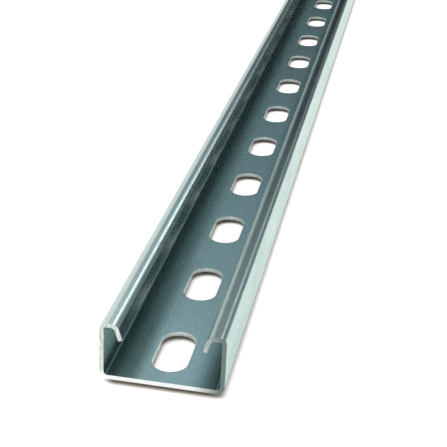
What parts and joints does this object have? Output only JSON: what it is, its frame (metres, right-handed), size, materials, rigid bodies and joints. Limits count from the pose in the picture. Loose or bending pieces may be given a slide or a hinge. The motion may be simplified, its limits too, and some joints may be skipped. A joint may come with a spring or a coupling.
{
  "type": "strut channel",
  "caption": "Shallow galvanised steel strut channel with in-turned lips and a row of round-ended slots punched along its web.",
  "frame": {"origin": "under the centre line of the web, half way along the length, on the plane that the web's back rests on", "axes": "+Y along the channel from the near end to the far end; +Z out of the open mouth; X across the web"},
  "size_m": [0.0412, 1, 0.0206],
  "materials": {
    "galvanised_steel": "hot-dip zinc, satin with fine spangle"
  },
  "bodies": {
    "root": {"strut_channel": "galvanised_steel"}
  },
  "joints": []
}
